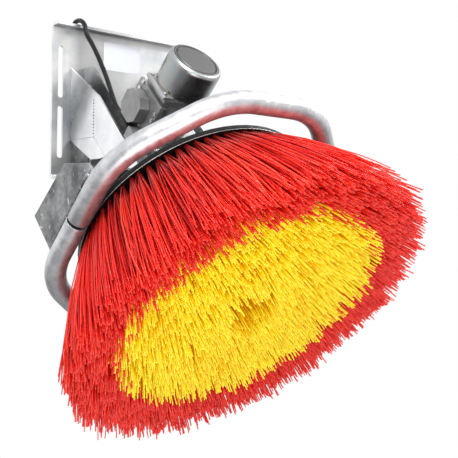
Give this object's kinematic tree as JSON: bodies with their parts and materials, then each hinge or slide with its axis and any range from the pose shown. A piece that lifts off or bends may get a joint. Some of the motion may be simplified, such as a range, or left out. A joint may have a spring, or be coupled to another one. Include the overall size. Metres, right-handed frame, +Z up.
{
  "type": "rotating cow brush",
  "caption": "Wall-hung livestock brush: a tilted disc of long red and yellow bristles, turned by a worm gear motor inside a bent steel guard ring on a galvanised console.",
  "frame": {"origin": "middle of the wall plate's back face, where it lies on the wall", "axes": "+X along the wall, +Y into the wall, +Z up; the brush hangs on the -Y side and its axis slopes 45 degrees forward and down"},
  "size_m": [0.6896, 0.7291, 0.8116],
  "materials": {
    "galvanised_steel": "hot-dip galvanised, softly reflecting, with spangle and streaks",
    "dull_galvanised_steel": "hot-dip galvanised, dull grey with runs and weld spots",
    "cast_aluminium": "raw die-cast, satin",
    "zinc_plated_can": "zinc plated, shiny with a faint warm tint",
    "bright_steel": "bright zinc plated or ground",
    "black_rubber": "matt",
    "black_plastic": "satin",
    "cable_sheath": "satin rubber sheath",
    "bronze": "machined",
    "copper_winding": "lacquered copper winding",
    "red_nylon": "glossy filaments",
    "yellow_nylon": "glossy filaments"
  },
  "bodies": {
    "console": {"wall_plate": "galvanised_steel", "console_arm_left": "galvanised_steel", "console_arm_right": "galvanised_steel", "lower_gusset_left": "galvanised_steel", "lower_gusset_right": "galvanised_steel", "wall_rib_left": "dull_galvanised_steel", "wall_rib_right": "dull_galvanised_steel", "rubber_buffer_left": "black_rubber", "rubber_buffer_right": "black_rubber", "guard_bow_front": "galvanised_steel", "guard_bow_rear": "galvanised_steel", "guard_plate_left": "dull_galvanised_steel", "guard_plate_right": "dull_galvanised_steel", "carrier_plate": "dull_galvanised_steel", "gear_housing": "cast_aluminium", "gear_cover": "cast_aluminium", "cover_screw_1": "bright_steel", "cover_screw_2": "bright_steel", "cover_screw_3": "bright_steel", "cover_screw_4": "bright_steel", "shaft_seal": "black_rubber", "output_bearing_lower": "bright_steel", "output_bearing_upper": "bright_steel", "worm_bearing_inner": "bright_steel", "worm_bearing_outer": "bright_steel", "motor_flange": "cast_aluminium", "motor_can": "zinc_plated_can", "stator": "copper_winding", "motor_screw_1": "bright_steel", "motor_screw_2": "bright_steel", "motor_screw_3": "bright_steel", "motor_screw_4": "bright_steel", "terminal_flange": "cast_aluminium", "terminal_box": "cast_aluminium", "terminal_screw_1": "bright_steel", "terminal_screw_2": "bright_steel", "terminal_screw_3": "bright_steel", "terminal_screw_4": "bright_steel", "terminal_screw_5": "bright_steel", "cable_entry_block": "cast_aluminium", "gland_nut": "black_plastic", "strain_relief": "black_rubber", "power_cable": "cable_sheath", "cable_coil": "cable_sheath", "plug": "black_plastic"},
    "worm_rotor": {"worm": "bright_steel", "rotor": "bright_steel"},
    "brush_head": {"output_shaft": "bright_steel", "wheel_key": "bright_steel", "worm_wheel": "bronze", "hub": "bright_steel", "brush_disc": "black_plastic", "hub_bolt_1": "bright_steel", "hub_bolt_2": "bright_steel", "hub_bolt_3": "bright_steel", "hub_bolt_4": "bright_steel", "centre_washer": "bright_steel", "centre_bolt": "bright_steel", "red_bristles": "red_nylon", "yellow_bristles": "yellow_nylon"}
  },
  "joints": [
    {"name": "brush_spin", "type": "hinge", "parent": "console", "child": "brush_head", "pos_m": [0, -0.278, -0.23], "axis": [0, 0.7071, 0.7071], "continuous": true},
    {"name": "worm_spin", "type": "hinge", "parent": "console", "child": "worm_rotor", "pos_m": [-0.035, -0.15779, -0.10979], "axis": [0, 0.7071, -0.7071], "continuous": true}
  ],
  "couplings": [
    {"joint": "worm_spin", "follows": "brush_spin", "ratio": 40}
  ]
}
